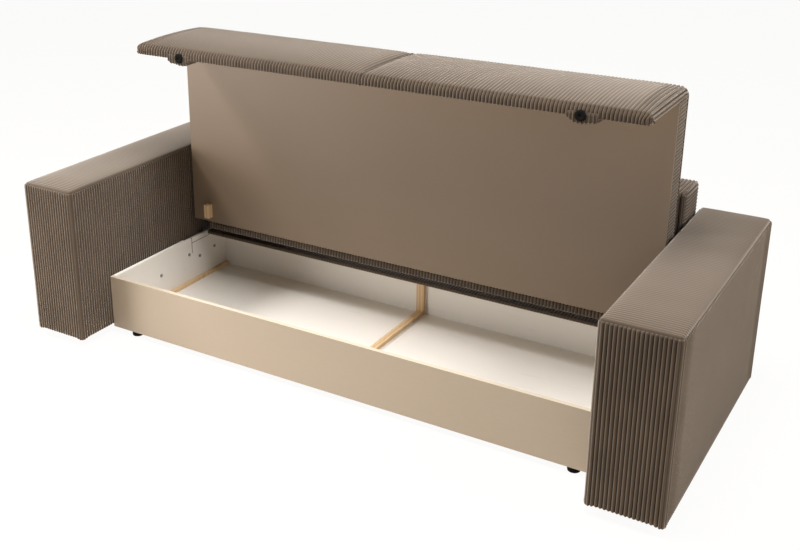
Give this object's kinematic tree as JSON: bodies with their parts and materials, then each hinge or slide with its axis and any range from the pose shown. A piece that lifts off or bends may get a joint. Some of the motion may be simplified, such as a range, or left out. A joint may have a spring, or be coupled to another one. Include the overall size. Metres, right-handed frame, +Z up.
{
  "type": "storage sofa with lift up seat",
  "caption": "Wide sofa in ribbed cloth with two block arms and a hinged seat that lifts to show a laminated storage box.",
  "frame": {"origin": "on the floor, midway between the arms and midway between their front and rear faces", "axes": "+X along the sofa to the right of someone who faces it, +Y from the front to the backrest, +Z up"},
  "size_m": [2.428, 1.028, 1.097],
  "materials": {
    "cloth": "wide rib corduroy, taupe",
    "webbing": "woven elastic strap",
    "laminate": "satin laminate, light beige",
    "white_board": "satin laminate, white",
    "pine": "planed, raw",
    "chipboard": "raw",
    "fibreboard": "smooth, raw",
    "steel": "zinc plated",
    "black_plastic": "moulded, black"
  },
  "bodies": {
    "base": {"arm_wrap_left": "cloth", "arm_wrap_right": "cloth", "arm_top_left": "cloth", "arm_top_right": "cloth", "arm_side_boards_left": "chipboard", "arm_side_boards_right": "chipboard", "arm_end_boards_left": "chipboard", "arm_end_boards_right": "chipboard", "arm_top_board_left": "chipboard", "arm_top_board_right": "chipboard", "arm_base_rails": "pine", "arm_feet": "black_plastic", "box_front_panel": "laminate", "box_rear_panel": "white_board", "box_side_panel_left": "white_board", "box_side_panel_right": "white_board", "box_side_rails": "white_board", "box_floor_left": "white_board", "box_floor_right": "white_board", "floor_batten_left": "pine", "floor_batten_center": "pine", "floor_batten_right": "pine", "rear_upright_batten": "pine", "rear_shelf_board": "chipboard", "rear_shelf_cover": "cloth", "box_feet": "black_plastic", "box_bolts": "steel", "backrest_ribs": "chipboard", "backrest_rails": "pine", "backrest_webbing": "webbing", "backrest_pad_left": "cloth", "backrest_pad_right": "cloth", "backrest_top_pad_left": "cloth", "backrest_top_pad_right": "cloth", "backrest_end_cover_left": "cloth", "backrest_end_cover_right": "cloth", "backrest_rear_cover": "cloth", "backrest_spacers": "pine", "hinge_base_plate_left": "steel", "hinge_base_plate_right": "steel", "hinge_washers": "steel", "hinge_pins": "steel"},
    "seat": {"seat_board": "fibreboard", "seat_frame_rails": "pine", "seat_frame_battens": "pine", "seat_corner_blocks": "pine", "seat_springs": "steel", "seat_end_bands": "cloth", "seat_rear_band": "cloth", "seat_pad_left": "cloth", "seat_pad_right": "cloth", "seat_seam_band": "cloth", "apron_board": "chipboard", "apron_pad_left": "cloth", "apron_pad_right": "cloth", "apron_foot_blocks": "cloth", "apron_feet": "black_plastic", "seat_under_blocks": "pine", "hinge_seat_plates": "steel", "hinge_screws": "steel"}
  },
  "joints": [
    {"name": "seat_lift", "type": "hinge", "parent": "base", "child": "seat", "pos_m": [0, 0.24, 0.375], "axis": [1, 0, 0], "range_deg": [0, 90]}
  ]
}
